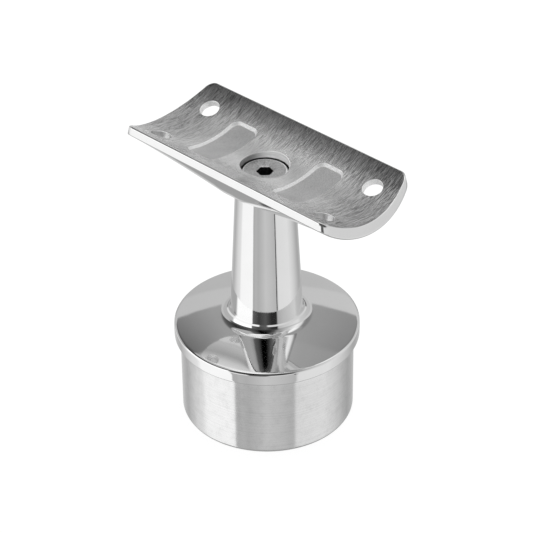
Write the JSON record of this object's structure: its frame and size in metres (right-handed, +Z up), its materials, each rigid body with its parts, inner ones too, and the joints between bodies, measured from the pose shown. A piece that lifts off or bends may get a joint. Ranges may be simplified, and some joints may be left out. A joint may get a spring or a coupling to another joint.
{
  "type": "handrail post top saddle",
  "caption": "Cast post cap with a hollow plug, collar and tapered stem that carries a trough-shaped saddle plate for a round handrail.",
  "frame": {"origin": "centre of the plug's bottom rim, where the part stands", "axes": "+Z up along the stem, +X along the handrail and the saddle's length, +Y across the handrail"},
  "size_m": [0.0772, 0.0508, 0.0825],
  "materials": {
    "polished_steel": "mirror polished casting, fine-turned plug",
    "brushed_saddle": "ground trough, polished edges",
    "screw_steel": "satin"
  },
  "bodies": {
    "root": {"post_cap": "polished_steel", "saddle_plate": "brushed_saddle", "saddle_screw": "screw_steel"}
  },
  "joints": []
}
